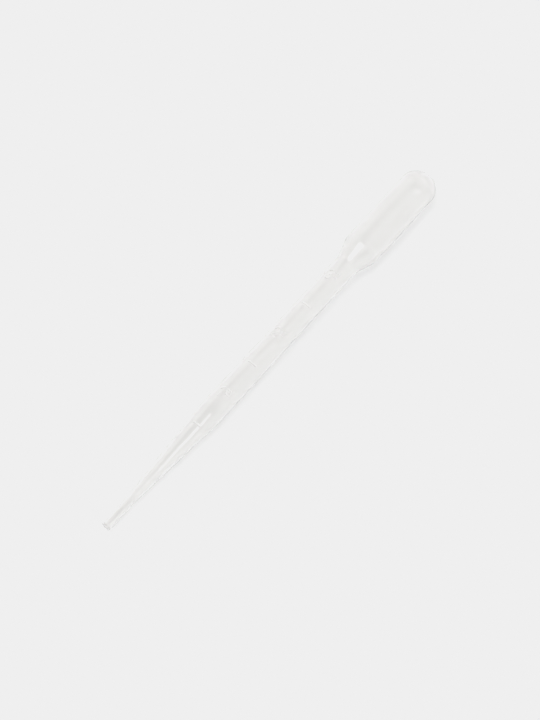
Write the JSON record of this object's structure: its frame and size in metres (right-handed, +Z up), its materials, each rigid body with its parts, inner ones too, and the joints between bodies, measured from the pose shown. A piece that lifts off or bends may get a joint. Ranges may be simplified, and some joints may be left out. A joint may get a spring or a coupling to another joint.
{
  "type": "plastic dropper pipette",
  "caption": "Soft translucent one-piece dropper pipette: open narrow tip, long taper, graduated stem and a closed squeeze bulb, lying on its side.",
  "frame": {"origin": "on the floor, under the middle of the pipette as it lies", "axes": "+X from the open tip to the closed bulb end, +Z up, with the graduations on top"},
  "size_m": [0.1552, 0.012, 0.0128],
  "materials": {
    "polyethylene": "natural translucent low-density polyethylene, satin, slightly hazy"
  },
  "bodies": {
    "root": {"pipette": "polyethylene"}
  },
  "joints": []
}
